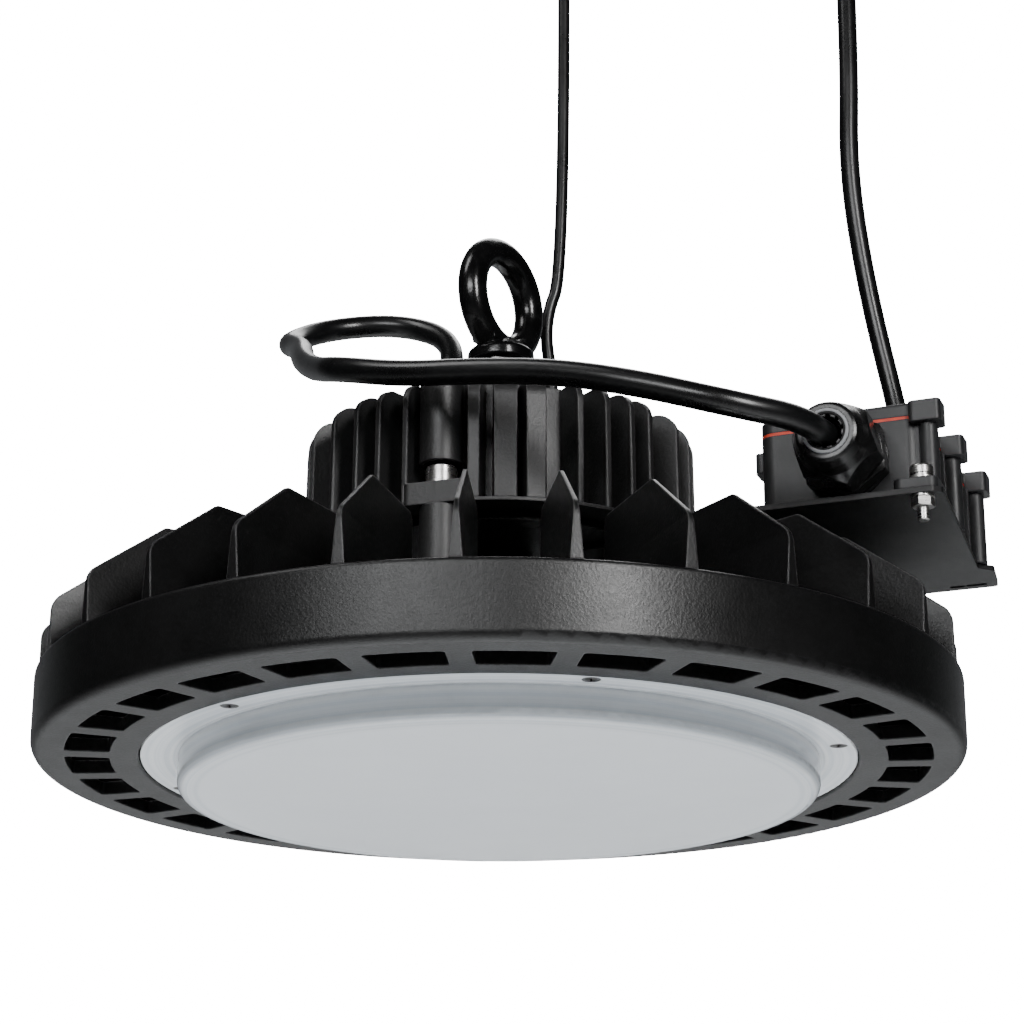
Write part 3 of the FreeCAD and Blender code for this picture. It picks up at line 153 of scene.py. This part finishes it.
# ---------------------------------------------------------------------------
# Materials: node trees, all in object coordinates, so in metres on the part
# ---------------------------------------------------------------------------
class Tree:
    """Small helper that adds nodes to a new material."""

    def __init__(self, name):
        self.mat = bpy.data.materials.new(name)
        self.mat.use_nodes = True
        self.t = self.mat.node_tree
        self.t.nodes.clear()
        self.out = self.n("ShaderNodeOutputMaterial")
        self.bsdf = self.n("ShaderNodeBsdfPrincipled")
        self.link(self.bsdf.outputs["BSDF"], self.out.inputs["Surface"])
        self.coord = self.n("ShaderNodeTexCoord").outputs["Object"]

    def n(self, kind, **props):
        node = self.t.nodes.new(kind)
        for k, v in props.items():
            setattr(node, k, v)
        return node

    def link(self, a, b):
        self.t.links.new(a, b)

    def put(self, socket, value):
        if hasattr(value, "is_output") and value.is_output:
            self.link(value, socket)
        else:
            socket.default_value = value

    def noise(self, scale, detail=2.0, rough=0.5, distort=0.0, coord=None):
        node = self.n("ShaderNodeTexNoise")
        self.link(coord or self.coord, node.inputs["Vector"])
        node.inputs["Scale"].default_value = scale
        node.inputs["Detail"].default_value = detail
        node.inputs["Roughness"].default_value = rough
        node.inputs["Distortion"].default_value = distort
        return node.outputs["Fac"]

    def voronoi(self, scale, feature="F1", coord=None):
        node = self.n("ShaderNodeTexVoronoi", feature=feature)
        self.link(coord or self.coord, node.inputs["Vector"])
        node.inputs["Scale"].default_value = scale
        return node.outputs["Distance"]

    def ramp(self, fac, lo, hi, a=0.0, b=1.0):
        """Map lo..hi of fac to a..b, clamped."""
        node = self.n("ShaderNodeMapRange")
        self.link(fac, node.inputs["Value"])
        node.inputs["From Min"].default_value = lo
        node.inputs["From Max"].default_value = hi
        node.inputs["To Min"].default_value = a
        node.inputs["To Max"].default_value = b
        return node.outputs["Result"]

    def math(self, op, a, b=None):
        node = self.n("ShaderNodeMath", operation=op)
        self.put(node.inputs[0], a)
        if b is not None:
            self.put(node.inputs[1], b)
        return node.outputs[0]

    def mix(self, fac, a, b):
        node = self.n("ShaderNodeMix", data_type="RGBA")
        self.put(node.inputs["Factor"], fac)
        for key, v in (("A", a), ("B", b)):
            socket = next(s for s in node.inputs if s.name == key and s.type == "RGBA")
            self.put(socket, v)
        return next(s for s in node.outputs if s.type == "RGBA")

    def bump(self, height, strength, distance, normal=None):
        node = self.n("ShaderNodeBump")
        node.inputs["Strength"].default_value = strength
        node.inputs["Distance"].default_value = distance
        self.link(height, node.inputs["Height"])
        if normal is not None:
            self.link(normal, node.inputs["Normal"])
        return node.outputs["Normal"]

    def soft_edge(self, radius, samples=4):
        """(rounded normal, mask that is 1 on edges) for an edge of that radius."""
        bev = self.n("ShaderNodeBevel", samples=samples)
        bev.inputs["Radius"].default_value = radius
        geo = self.n("ShaderNodeNewGeometry")
        dot = self.n("ShaderNodeVectorMath", operation="DOT_PRODUCT")
        self.link(bev.outputs["Normal"], dot.inputs[0])
        self.link(geo.outputs["Normal"], dot.inputs[1])
        return bev.outputs["Normal"], self.ramp(dot.outputs["Value"], 0.995, 0.80)


def rgb(v, tint=(1.0, 1.0, 1.0)):
    return (v * tint[0], v * tint[1], v * tint[2], 1.0)


def coated(name, dark, light, rough, grain, grain_height, edge_r, edge_highlight_level, spec=0.5, coat=0.0, tint=(1, 1, 1.03),
           rough_span=0.08, mottle=30.0):
    """Powder coat or paint on metal: sandy grain, uneven gloss, thin edges painted lighter as a painted highlight."""
    m = Tree(name)
    b = m.bsdf
    normal, edge = m.soft_edge(edge_r)
    big = m.noise(mottle, 4.0, 0.6)
    fine = m.noise(grain, 3.0, 0.62)
    specks = m.voronoi(grain * 0.55)
    col = m.mix(m.ramp(big, 0.35, 0.68), rgb(dark, tint), rgb(light, tint))
    col = m.mix(m.math("MULTIPLY", m.ramp(fine, 0.5, 0.8), 0.35), col, rgb(light * 2.2, tint))
    # painted highlight: the edge mask, broken up by noise, lightens the colour on the edges where glints on the
    # rounded edges would show
    painted_edge_highlight = m.math("MULTIPLY", edge, m.ramp(m.noise(160.0, 3.0, 0.7), 0.3, 0.62, 0.25, 1.0))
    col = m.mix(painted_edge_highlight, col, rgb(edge_highlight_level, tint))
    m.link(col, b.inputs["Base Color"])
    m.link(m.ramp(m.math("ADD", m.math("MULTIPLY", big, 0.5), m.math("MULTIPLY", fine, 0.5)), 0.3, 0.7,
                  rough - rough_span, rough + rough_span), b.inputs["Roughness"])
    height = m.math("ADD", m.math("MULTIPLY", fine, 0.65), m.math("MULTIPLY", specks, 0.5))
    m.link(m.bump(height, 1.0, grain_height, normal), b.inputs["Normal"])
    b.inputs["Specular IOR Level"].default_value = spec
    b.inputs["Coat Weight"].default_value = coat
    b.inputs["Coat Roughness"].default_value = 0.25
    return m.mat


def moulded(name, dark, light, rough, grain, grain_height, edge_r, edge_highlight_level, spec=0.5, tint=(1, 1, 1.03),
            rough_span=0.06, sheen_noise=60.0):
    """Moulded plastic or rubber: fine spark grain, slightly uneven gloss, edges painted lighter as a painted
    highlight.
    """
    m = Tree(name)
    b = m.bsdf
    normal, edge = m.soft_edge(edge_r)
    big = m.noise(sheen_noise, 3.0, 0.55)
    fine = m.noise(grain, 2.0, 0.5)
    col = m.mix(m.ramp(big, 0.3, 0.7), rgb(dark, tint), rgb(light, tint))
    # painted highlight: the edge mask lightens the colour on the edges where glints on the rounded edges would show
    col = m.mix(m.math("MULTIPLY", edge, 0.8), col, rgb(edge_highlight_level, tint))
    m.link(col, b.inputs["Base Color"])
    m.link(m.ramp(big, 0.3, 0.7, rough - rough_span, rough + rough_span), b.inputs["Roughness"])
    m.link(m.bump(fine, 1.0, grain_height, normal), b.inputs["Normal"])
    b.inputs["Specular IOR Level"].default_value = spec
    return m.mat


def metal(name, a, b_, rough, scratch=(60.0, 60.0, 2600.0), height=0.00003, metallic=1.0, edge_r=0.0002,
          stain=(0.30, 0.29, 0.27), stain_amount=0.35, tint=(1, 0.985, 0.96)):
    """Plated or plain metal: drawn or turned marks and dull patches."""
    m = Tree(name)
    b = m.bsdf
    normal, edge = m.soft_edge(edge_r)
    mp = m.n("ShaderNodeMapping")
    m.link(m.coord, mp.inputs["Vector"])
    mp.inputs["Scale"].default_value = scratch
    lines = m.noise(1.0, 3.0, 0.65, coord=mp.outputs["Vector"])
    patch = m.noise(180.0, 4.0, 0.6)
    col = m.mix(m.ramp(lines, 0.3, 0.7), rgb(a, tint), rgb(b_, tint))
    col = m.mix(m.math("MULTIPLY", m.ramp(patch, 0.5, 0.72), stain_amount), col, (*stain, 1.0))
    m.link(col, b.inputs["Base Color"])
    b.inputs["Metallic"].default_value = metallic
    m.link(m.ramp(m.math("ADD", m.math("MULTIPLY", lines, 0.4), m.math("MULTIPLY", patch, 0.6)), 0.3, 0.7,
                  rough - 0.08, rough + 0.14), b.inputs["Roughness"])
    m.link(m.bump(lines, 1.0, height, normal), b.inputs["Normal"])
    return m.mat


def cable_sheath(name):
    """Extruded PVC: nearly smooth, long faint drawing lines, dusty dull patches."""
    m = Tree(name)
    b = m.bsdf
    big = m.noise(35.0, 4.0, 0.6)
    fine = m.noise(900.0, 2.0, 0.5)
    col = m.mix(m.ramp(big, 0.35, 0.7), rgb(0.004, (1, 1, 1.08)), rgb(0.008, (1, 1, 1.06)))
    m.link(col, b.inputs["Base Color"])
    m.link(m.ramp(m.math("ADD", m.math("MULTIPLY", big, 0.7), m.math("MULTIPLY", fine, 0.3)), 0.3, 0.7, 0.24, 0.36),
           b.inputs["Roughness"])
    m.link(m.bump(m.math("ADD", m.math("MULTIPLY", big, 0.8), m.math("MULTIPLY", fine, 0.05)), 0.35, 0.0002),
           b.inputs["Normal"])
    b.inputs["Specular IOR Level"].default_value = 0.62
    return m.mat


def opal(name):
    """Opal polycarbonate: milky face, clearer drum edge and flange with turned rings."""
    m = Tree(name)
    b = m.bsdf
    xyz = m.n("ShaderNodeSeparateXYZ")
    m.link(m.coord, xyz.inputs[0])
    x, y, z = xyz.outputs
    r = m.math("SQRT", m.math("ADD", m.math("MULTIPLY", x, x), m.math("MULTIPLY", y, y)))
    ring_at = m.n("ShaderNodeCombineXYZ")
    m.link(m.math("MULTIPLY", r, 1.0), ring_at.inputs[0])
    m.link(m.math("MULTIPLY", z, 1.0), ring_at.inputs[2])
    rings = m.noise(420.0, 3.0, 0.6, coord=ring_at.outputs[0])
    big = m.noise(14.0, 3.0, 0.5)
    fine = m.noise(2600.0, 2.0, 0.5)
    rim = m.ramp(r, 0.1035, 0.1090)
    face = m.mix(m.ramp(big, 0.3, 0.7), (0.795, 0.835, 0.885, 1), (0.83, 0.865, 0.905, 1))
    edge = m.mix(m.ramp(rings, 0.36, 0.62), (0.60, 0.66, 0.72, 1), (0.88, 0.90, 0.92, 1))
    m.link(m.mix(m.math("MULTIPLY", rim, 0.85), face, edge), b.inputs["Base Color"])
    m.link(m.math("SUBTRACT", m.ramp(big, 0.3, 0.7, 0.13, 0.18), m.math("MULTIPLY", rim, 0.08)), b.inputs["Roughness"])
    height = m.math("ADD", m.math("MULTIPLY", big, 1.0), m.math("MULTIPLY", fine, 0.02))
    height = m.math("ADD", height, m.math("MULTIPLY", m.math("MULTIPLY", rings, rim), 0.45))
    m.link(m.bump(height, 0.5, 0.0006), b.inputs["Normal"])
    b.inputs["Subsurface Weight"].default_value = 0.25
    b.inputs["Subsurface Radius"].default_value = (0.004, 0.004, 0.004)
    b.inputs["Subsurface Scale"].default_value = 1.0
    b.inputs["Specular IOR Level"].default_value = 0.6
    return m.mat


def flat_mat(name, col_a, col_b, rough, scale=400.0, height=0.00004, spec=0.5):
    """Small inside parts: two close tones and a fine surface."""
    m = Tree(name)
    b = m.bsdf
    fac = m.noise(scale, 3.0, 0.6)
    m.link(m.mix(m.ramp(fac, 0.35, 0.65), (*col_a, 1), (*col_b, 1)), b.inputs["Base Color"])
    m.link(m.ramp(fac, 0.3, 0.7, rough - 0.08, rough + 0.08), b.inputs["Roughness"])
    m.link(m.bump(fac, 1.0, height), b.inputs["Normal"])
    b.inputs["Specular IOR Level"].default_value = spec
    return m.mat


MATS = {
    "cast_black": coated("cast_black_coat", 0.0040, 0.0065, 0.37, 1700.0, 0.00007, 0.0009, 0.130, spec=0.5),
    # housing coat: rougher and with a higher specular level than the heat sink coat; its lighter base colour is
    # painted light, so the housing, fins and posts read brighter as if lit more strongly
    "housing_black": coated("housing_black_coat_painted_light", 0.0095, 0.0150, 0.45, 1500.0, 0.00008, 0.0008, 0.120, spec=0.7),
    "eye_black": coated("eye_black_coat", 0.003, 0.006, 0.20, 260.0, 0.00014, 0.0004, 0.012, spec=0.6, rough_span=0.06,
                        mottle=90.0),
    "fixing_steel": metal("zinc_steel", 0.50, 0.68, 0.27),
    "fixing_dark": metal("dark_steel", 0.10, 0.16, 0.38, stain=(0.05, 0.05, 0.05)),
    "lens_white": opal("opal_lens"),
    "rubber_black": moulded("black_rubber", 0.008, 0.014, 0.70, 1200.0, 0.00005, 0.0002, 0.02),
    "seal_grey": moulded("grey_seal", 0.30, 0.38, 0.50, 900.0, 0.00004, 0.0003, 0.42, tint=(1, 1.02, 1.06)),
    "gasket_red": flat_mat("red_gasket", (0.60, 0.040, 0.018), (0.78, 0.075, 0.035), 0.50),
    "nylon_black": moulded("black_nylon", 0.005, 0.008, 0.25, 700.0, 0.00003, 0.0007, 0.010, spec=0.6),
    "box_plastic": moulded("box_plastic_grain", 0.018, 0.027, 0.43, 2400.0, 0.00003, 0.0007, 0.055, spec=0.5,
                           tint=(1, 1.02, 1.08)),
    "bracket_paint": coated("bracket_coat", 0.005, 0.008, 0.50, 2300.0, 0.00003, 0.0004, 0.040, tint=(1, 1.01, 1.08)),
    "cable_black": cable_sheath("cable_sheath_pvc"),
    "board_white": flat_mat("white_mask", (0.70, 0.70, 0.67), (0.80, 0.80, 0.78), 0.35),
    "led_yellow": flat_mat("phosphor", (0.80, 0.62, 0.16), (0.88, 0.72, 0.26), 0.30, 1500.0),
    "wire_red": flat_mat("red_silicone", (0.42, 0.02, 0.015), (0.52, 0.035, 0.02), 0.45),
    "board_green": flat_mat("green_mask", (0.02, 0.14, 0.06), (0.035, 0.20, 0.09), 0.35),
    "ferrite": flat_mat("ferrite_core", (0.045, 0.042, 0.042), (0.07, 0.065, 0.062), 0.60),
    "can_aluminium": metal("can_sleeve", 0.45, 0.60, 0.32),
    "terminal_white": flat_mat("terminal_plastic", (0.66, 0.66, 0.62), (0.76, 0.75, 0.72), 0.45),
}

slot_of = {}
for part in frame["record"].get("subparts", []):
    slot_of[part.get("node", part.get("name"))] = part.get("material_slot", part.get("slot"))


def dress(ob, mat):
    ob.data.materials.clear() if ob.type != "MESH" or "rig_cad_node" not in ob else None
    if len(ob.data.materials) == 0:
        ob.data.materials.append(mat)
    else:
        for i in range(len(ob.data.materials)):
            ob.data.materials[i] = mat


for name, ob in frame["nodes"].items():
    slot = slot_of.get(name)
    if slot not in MATS:
        old = ob.data.materials[0].name if len(ob.data.materials) else ""
        slot = next((s for s in MATS if old.startswith(s)), "cast_black")
        print("SLOT?", name, old, slot)
    dress(ob, MATS[slot])
for name in ("driver_housing", "driver_housing_fins", "heat_sink_posts"):
    dress(frame["nodes"][name], MATS["housing_black"])
for name in ("box_gland_seal", "supply_gland_seal"):
    dress(frame["nodes"][name], MATS["rubber_black"])
for ob in (driver_lead, control_cable, supply_cable):
    dress(ob, MATS["cable_black"])


# ---------------------------------------------------------------------------
# Mesh helpers
# ---------------------------------------------------------------------------
def new_mesh(name, bm, slot, mat=None, smooth=True, replaces=()):
    me = bpy.data.meshes.new(name)
    bmesh.ops.recalc_face_normals(bm, faces=bm.faces)
    bm.to_mesh(me)
    bm.free()
    me.materials.append(mat or MATS[slot])
    for p in me.polygons:
        p.use_smooth = smooth
    ob = bpy.data.objects.new(name, me)
    bpy.context.collection.objects.link(ob)
    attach(ob, "root")
    if replaces:
        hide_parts(*replaces)
    return ob


def axes(at, axis):
    """Matrix that takes a shape drawn along +Z in mm to at (mm on the light's axis), with Z along axis."""
    q = Vector((0, 0, 1)).rotation_difference(Vector(axis).normalized())
    return Matrix.Translation(MM(*at)) @ q.to_matrix().to_4x4() @ Matrix.Scale(0.001, 4)


def thread(bm, m, r_root, r_crest, pitch, z0, z1, seg=28):
    """A helical ridge along Z from z0 to z1 (mm), placed by m."""
    turns = (z1 - z0) / pitch
    n = int(turns * seg)
    prev = None
    for i in range(n + 1):
        a = 2 * math.pi * i / seg
        z = z0 + pitch * i / seg
        fade = min(1.0, i / (seg * 0.5), (n - i) / (seg * 0.5))
        rc = r_root + (r_crest - r_root) * max(fade, 0.02)
        ring = []
        for r, dz in ((r_root - 0.15, -0.46 * pitch), (rc, -0.07 * pitch), (rc, 0.07 * pitch), (r_root - 0.15, 0.46 * pitch)):
            ring.append(bm.verts.new(m @ Vector((r * math.cos(a), r * math.sin(a), z + dz))))
        if prev:
            for k in range(4):
                bm.faces.new((prev[k], prev[(k + 1) % 4], ring[(k + 1) % 4], ring[k]))
        else:
            bm.faces.new(ring[::-1])
        prev = ring
    bm.faces.new(prev)


def lathe(bm, m, prof, seg=64):
    """Closed outline of (r, z) turned about Z."""
    rings = []
    for r, z in prof:
        rings.append([bm.verts.new(m @ Vector((r * math.cos(2 * math.pi * i / seg), r * math.sin(2 * math.pi * i / seg), z)))
                      for i in range(seg)])
    k = len(prof)
    for j in range(k):
        a, b = rings[j], rings[(j + 1) % k]
        for i in range(seg):
            bm.faces.new((a[i], a[(i + 1) % seg], b[(i + 1) % seg], b[i]))


# --- thread on the ends of the box fixings, below their nuts
bm = bmesh.new()
for u, v in ((163.8, -32.4), (103.5, 62.5)):
    m = axes(UV(u, v, 63.9), (0, 0, 1))
    thread(bm, m, 1.72, 2.02, 0.7, 0.5, 4.9, 20)
new_mesh("box_bolt_threads", bm, "fixing_steel")

# --- mouths of the two glands on the box: pale ring round the seal and the nut's claws inside it
for side, v0, sign in (("box", -26.5, -1.0), ("supply", 58.0, 1.0)):
    ax = Vector(UV(0.0, 1.0, 0.0)) * sign
    m = axes(UV(137.5, v0, 90.5), ax)
    bm = bmesh.new()
    lathe(bm, m, [(6.75, 30.35), (7.95, 30.25), (7.97, 30.75), (7.75, 31.08), (7.2, 31.14), (6.85, 30.95)], 72)
    new_mesh("%s_gland_mouth_ring" % side, bm, "seal_grey")
    bm = bmesh.new()
    for k in range(10):
        a0 = 2 * math.pi * k / 10 + 0.12
        loops = []
        for z, r0, r1, w in ((26.2, 4.75, 6.0, 0.20), (28.4, 4.95, 6.05, 0.22), (29.9, 5.15, 6.1, 0.20), (30.3, 5.4, 6.05, 0.15)):
            loops.append([bm.verts.new(m @ Vector((r * math.cos(a0 + t), r * math.sin(a0 + t), z)))
                          for r, t in ((r0, -w), (r1, -w), (r1, 0.0), (r1, w), (r0, w), (r0, 0.0))])
        for lo_, hi_ in zip(loops, loops[1:]):
            for i in range(6):
                bm.faces.new((lo_[i], lo_[(i + 1) % 6], hi_[(i + 1) % 6], hi_[i]))
        bm.faces.new(loops[0][::-1])
        bm.faces.new(loops[-1])
    new_mesh("%s_gland_claws" % side, bm, "nylon_black", smooth=False)

# --- stage: pale floor well below the hung light
floor_bm = bmesh.new()
bmesh.ops.create_grid(floor_bm, x_segments=1, y_segments=1, size=6.0)
me = bpy.data.meshes.new("floor")
floor_bm.to_mesh(me)
floor_bm.free()
floor = bpy.data.objects.new("floor", me)
floor.location = (0, 0, -1.25)
bpy.context.collection.objects.link(floor)
fm = Tree("floor_paper")
fm.link(fm.mix(fm.ramp(fm.noise(6.0, 3.0, 0.5), 0.3, 0.7), (0.80, 0.80, 0.80, 1), (0.84, 0.84, 0.84, 1)), fm.bsdf.inputs["Base Color"])
fm.bsdf.inputs["Roughness"].default_value = 0.9
me.materials.append(fm.mat)

# ---------------------------------------------------------------------------
# Light: white surround, two soft boxes in front, one from above and behind
# ---------------------------------------------------------------------------
ROOM, SWEEP, SWEEP_FLOOR, UNDER = 0.012, 0.30, 0.60, 1.05
BACK_LO, BACK_HI = 0.58, 0.93
world = bpy.data.worlds.new("studio")
bpy.context.scene.world = world
world.use_nodes = True
wt = world.node_tree
wt.nodes.clear()


def wn(kind, **props):
    node = wt.nodes.new(kind)
    for k, v in props.items():
        setattr(node, k, v)
    return node


def wmath(op, a, b=None, c=None):
    node = wn("ShaderNodeMath", operation=op)
    for socket, v in zip(node.inputs, (a, b, c)):
        if v is None:
            continue
        if hasattr(v, "is_output"):
            wt.links.new(v, socket)
        else:
            socket.default_value = v
    return node.outputs[0]


def wstep(v, lo, hi, a=0.0, b=1.0):
    node = wn("ShaderNodeMapRange", interpolation_type="SMOOTHSTEP")
    wt.links.new(v, node.inputs["Value"])
    for key, x in (("From Min", lo), ("From Max", hi), ("To Min", a), ("To Max", b)):
        node.inputs[key].default_value = x
    return node.outputs["Result"]


# a white sweep behind and below, a dark room in front, a brighter floor that starts below 13.5 degrees
sky = wn("ShaderNodeSeparateXYZ")
wt.links.new(wn("ShaderNodeTexCoord").outputs["Generated"], sky.inputs[0])
dx, dy, dz = sky.outputs
back = wstep(dy, BACK_LO, BACK_HI)
floor_edge = wmath("ADD", dz, wmath("MULTIPLY", wmath("MULTIPLY", dx, dx), 0.6))
floor_part = wmath("MULTIPLY", wstep(floor_edge, -0.2385, -0.2315, 1.0, 0.0), back)
below = wmath("MULTIPLY", wstep(dz, -0.98, -0.52, 1.0, 0.0), 1.0)
level = wmath("ADD", ROOM, wmath("MULTIPLY", back, SWEEP))
level = wmath("ADD", level, wmath("MULTIPLY", floor_part, SWEEP_FLOOR))
level = wmath("ADD", level, wmath("MULTIPLY", below, UNDER))
w_out = wn("ShaderNodeOutputWorld")
w_mix = wn("ShaderNodeMixShader")
w_dim = wn("ShaderNodeBackground")
w_white = wn("ShaderNodeBackground")
w_dim.inputs["Color"].default_value = (0.93, 0.96, 1.0, 1)
wt.links.new(level, w_dim.inputs["Strength"])
w_white.inputs["Color"].default_value = (1, 1, 1, 1)
w_white.inputs["Strength"].default_value = 18.0
wt.links.new(wn("ShaderNodeLightPath").outputs["Is Camera Ray"], w_mix.inputs[0])
wt.links.new(w_dim.outputs[0], w_mix.inputs[1])
wt.links.new(w_white.outputs[0], w_mix.inputs[2])
wt.links.new(w_mix.outputs[0], w_out.inputs["Surface"])


def soft_box(name, at, look, w, h, power, color=(1, 1, 1)):
    d = bpy.data.lights.new(name, "AREA")
    d.shape = "RECTANGLE"
    d.size, d.size_y = w, h
    d.energy = power
    d.color = color
    ob = bpy.data.objects.new(name, d)
    bpy.context.collection.objects.link(ob)
    at, look = Vector(at), Vector(look)
    ob.location = at
    ob.rotation_mode = "QUATERNION"
    ob.rotation_quaternion = (at - look).to_track_quat("Z", "Y")
    return ob


AIM = (0.0, -0.10, -0.15)
soft_box("key_right", (0.74, -1.52, 0.38), AIM, 0.26, 0.62, 16.5, (1.0, 0.995, 0.99))
soft_box("front_wide", (-0.60, -1.60, 0.40), AIM, 0.95, 0.42, 12.0, (0.98, 0.99, 1.0))
soft_box("top_left", (-1.1, -0.5, 1.5), AIM, 0.5, 0.9, 8.0)
soft_box("top_back", (0.3, 1.2, 1.4), AIM, 1.2, 0.7, 13.0)
# two lights that face down and brighten the floor, which lights the lens and shines on the ring from below
soft_box("floor_near", (0.0, 0.25, -0.62), (0.0, 0.25, -1.25), 1.5, 1.5, 30.0, (0.95, 0.98, 1.0))
soft_box("floor_far", (0.0, 3.9, -0.55), (0.0, 3.9, -1.25), 4.0, 2.4, 40.0, (0.95, 0.98, 1.0))
